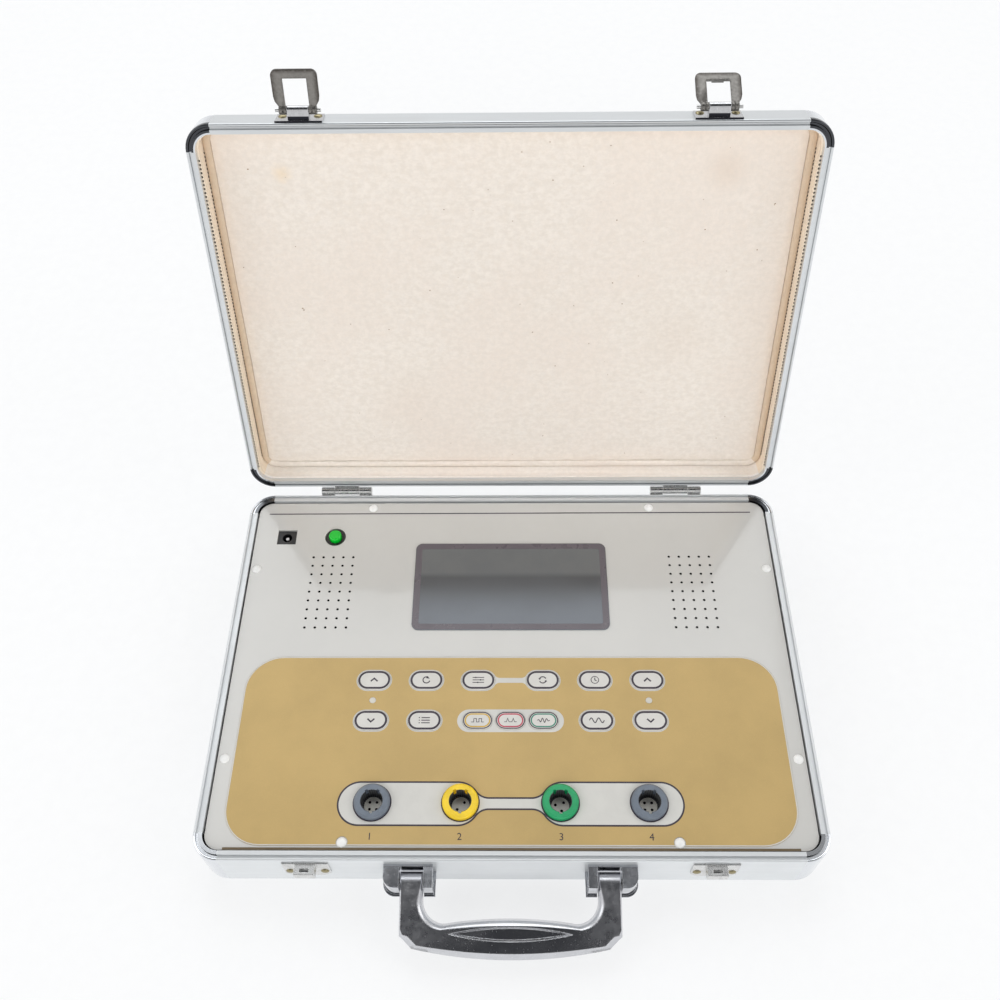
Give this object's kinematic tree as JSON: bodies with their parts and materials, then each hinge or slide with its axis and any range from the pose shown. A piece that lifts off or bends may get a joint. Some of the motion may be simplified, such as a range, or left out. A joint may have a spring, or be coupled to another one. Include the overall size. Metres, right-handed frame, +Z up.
{
  "type": "tens unit",
  "caption": "Nerve stimulator in an aluminium attache case: hinged lined lid, hasps, carrying handle, display, keypad and round output sockets.",
  "frame": {"origin": "centre of the base underside", "axes": "+Z up, +Y toward the hinge, +X to the right of a person at the keypad"},
  "size_m": [0.324, 0.3569, 0.2809],
  "materials": {
    "aluminium": "satin anodised extrusion",
    "corner_chrome": "polished",
    "black_plastic": "moulded",
    "silver_board": "fine grained silver sheet",
    "panel_grey": "glossy light grey",
    "gold_film": "satin gold",
    "post_metal": "plated",
    "white_plastic": "white",
    "display_lens": "smoked lens with a printed border",
    "display_module": "dark",
    "socket_grey": "moulded",
    "socket_yellow": "moulded",
    "socket_green": "moulded",
    "contact_cream": "moulded",
    "cap_green": "moulded",
    "key_ivory": "moulded, dark ring",
    "key_yellow": "moulded",
    "key_red": "moulded",
    "key_green": "moulded",
    "circuit_board": "laminate",
    "coil": "varnished",
    "nickel": "worn nickel plate",
    "bracket_chrome": "worn",
    "handle_gunmetal": "metallised, worn",
    "rivet_brass": "dull",
    "lining_cream": "suede cloth on thin board",
    "trim_peach": "cloth tape on thin board"
  },
  "bodies": {
    "base": {"base_walls": "aluminium", "base_corners": "corner_chrome", "base_corner_blocks": "black_plastic", "power_switch_body": "black_plastic", "dc_inlet_body": "black_plastic", "speaker": "black_plastic", "floor_panel": "silver_board", "panel_plate": "panel_grey", "keypad_film": "gold_film", "panel_posts": "post_metal", "board_standoffs": "post_metal", "board_screws": "post_metal", "socket_nuts": "post_metal", "dc_inlet_pin": "post_metal", "hinge_pins": "post_metal", "handle_pins": "post_metal", "panel_screws": "white_plastic", "status_leds": "white_plastic", "lcd_lens": "display_lens", "lcd_module": "display_module", "out1_socket": "socket_grey", "out4_socket": "socket_grey", "out2_socket": "socket_yellow", "out3_socket": "socket_green", "socket_inserts": "contact_cream", "key_board": "circuit_board", "main_board": "circuit_board", "output_transformers": "coil", "hinge_base_leaves": "nickel", "catch_plates": "nickel", "handle_brackets": "bracket_chrome", "base_rivets": "rivet_brass"},
    "lid": {"lid_walls": "aluminium", "lid_corners": "corner_chrome", "lid_corner_blocks": "black_plastic", "lid_skin": "silver_board", "lid_side_lining": "lining_cream", "lid_trim": "trim_peach", "lid_lining": "lining_cream", "latch_plates": "nickel", "lid_rivets": "rivet_brass", "hinge_lid_leaves": "nickel", "hasp_pins": "post_metal"},
    "handle": {"handle": "handle_gunmetal"},
    "hasp_left": {"hasp_left": "nickel"},
    "hasp_right": {"hasp_right": "nickel"},
    "power_button": {"power_button": "cap_green"},
    "key_top_1": {"key_top_1": "key_ivory"},
    "key_top_2": {"key_top_2": "key_ivory"},
    "key_top_3": {"key_top_3": "key_ivory"},
    "key_top_4": {"key_top_4": "key_ivory"},
    "key_top_5": {"key_top_5": "key_ivory"},
    "key_top_6": {"key_top_6": "key_ivory"},
    "key_low_1": {"key_low_1": "key_ivory"},
    "key_low_2": {"key_low_2": "key_ivory"},
    "key_low_3": {"key_low_3": "key_ivory"},
    "key_low_4": {"key_low_4": "key_ivory"},
    "key_yellow": {"key_yellow": "key_yellow"},
    "key_red": {"key_red": "key_red"},
    "key_green": {"key_green": "key_green"}
  },
  "joints": [
    {"name": "lid_hinge", "type": "hinge", "parent": "base", "child": "lid", "pos_m": [0, 0.1162, 0.03715], "axis": [1, 0, 0], "range_deg": [0, 105.5]},
    {"name": "handle_hinge", "type": "hinge", "parent": "base", "child": "handle", "pos_m": [0, -0.1203, 0.024], "axis": [-1, 0, 0], "range_deg": [0, 111]},
    {"name": "hasp_left_hinge", "type": "hinge", "parent": "lid", "child": "hasp_left", "pos_m": [-0.1036, 0.18388, 0.26194], "axis": [1, 0, 0], "range_deg": [-80, 90]},
    {"name": "hasp_right_hinge", "type": "hinge", "parent": "lid", "child": "hasp_right", "pos_m": [0.1036, 0.18388, 0.26194], "axis": [1, 0, 0], "range_deg": [-24, 146]},
    {"name": "power_button_press", "type": "slide", "parent": "base", "child": "power_button", "axis": [0, 0, -1], "range_m": [0, 0.0015], "stiffness_N_per_m": 500, "springref_m": -0.001},
    {"name": "key_top_1_press", "type": "slide", "parent": "base", "child": "key_top_1", "axis": [0, 0, -1], "range_m": [0, 0.0005], "stiffness_N_per_m": 500, "springref_m": -0.0005},
    {"name": "key_top_2_press", "type": "slide", "parent": "base", "child": "key_top_2", "axis": [0, 0, -1], "range_m": [0, 0.0005], "stiffness_N_per_m": 500, "springref_m": -0.0005},
    {"name": "key_top_3_press", "type": "slide", "parent": "base", "child": "key_top_3", "axis": [0, 0, -1], "range_m": [0, 0.0005], "stiffness_N_per_m": 500, "springref_m": -0.0005},
    {"name": "key_top_4_press", "type": "slide", "parent": "base", "child": "key_top_4", "axis": [0, 0, -1], "range_m": [0, 0.0005], "stiffness_N_per_m": 500, "springref_m": -0.0005},
    {"name": "key_top_5_press", "type": "slide", "parent": "base", "child": "key_top_5", "axis": [0, 0, -1], "range_m": [0, 0.0005], "stiffness_N_per_m": 500, "springref_m": -0.0005},
    {"name": "key_top_6_press", "type": "slide", "parent": "base", "child": "key_top_6", "axis": [0, 0, -1], "range_m": [0, 0.0005], "stiffness_N_per_m": 500, "springref_m": -0.0005},
    {"name": "key_low_1_press", "type": "slide", "parent": "base", "child": "key_low_1", "axis": [0, 0, -1], "range_m": [0, 0.0005], "stiffness_N_per_m": 500, "springref_m": -0.0005},
    {"name": "key_low_2_press", "type": "slide", "parent": "base", "child": "key_low_2", "axis": [0, 0, -1], "range_m": [0, 0.0005], "stiffness_N_per_m": 500, "springref_m": -0.0005},
    {"name": "key_low_3_press", "type": "slide", "parent": "base", "child": "key_low_3", "axis": [0, 0, -1], "range_m": [0, 0.0005], "stiffness_N_per_m": 500, "springref_m": -0.0005},
    {"name": "key_low_4_press", "type": "slide", "parent": "base", "child": "key_low_4", "axis": [0, 0, -1], "range_m": [0, 0.0005], "stiffness_N_per_m": 500, "springref_m": -0.0005},
    {"name": "key_yellow_press", "type": "slide", "parent": "base", "child": "key_yellow", "axis": [0, 0, -1], "range_m": [0, 0.0005], "stiffness_N_per_m": 500, "springref_m": -0.0005},
    {"name": "key_red_press", "type": "slide", "parent": "base", "child": "key_red", "axis": [0, 0, -1], "range_m": [0, 0.0005], "stiffness_N_per_m": 500, "springref_m": -0.0005},
    {"name": "key_green_press", "type": "slide", "parent": "base", "child": "key_green", "axis": [0, 0, -1], "range_m": [0, 0.0005], "stiffness_N_per_m": 500, "springref_m": -0.0005}
  ]
}
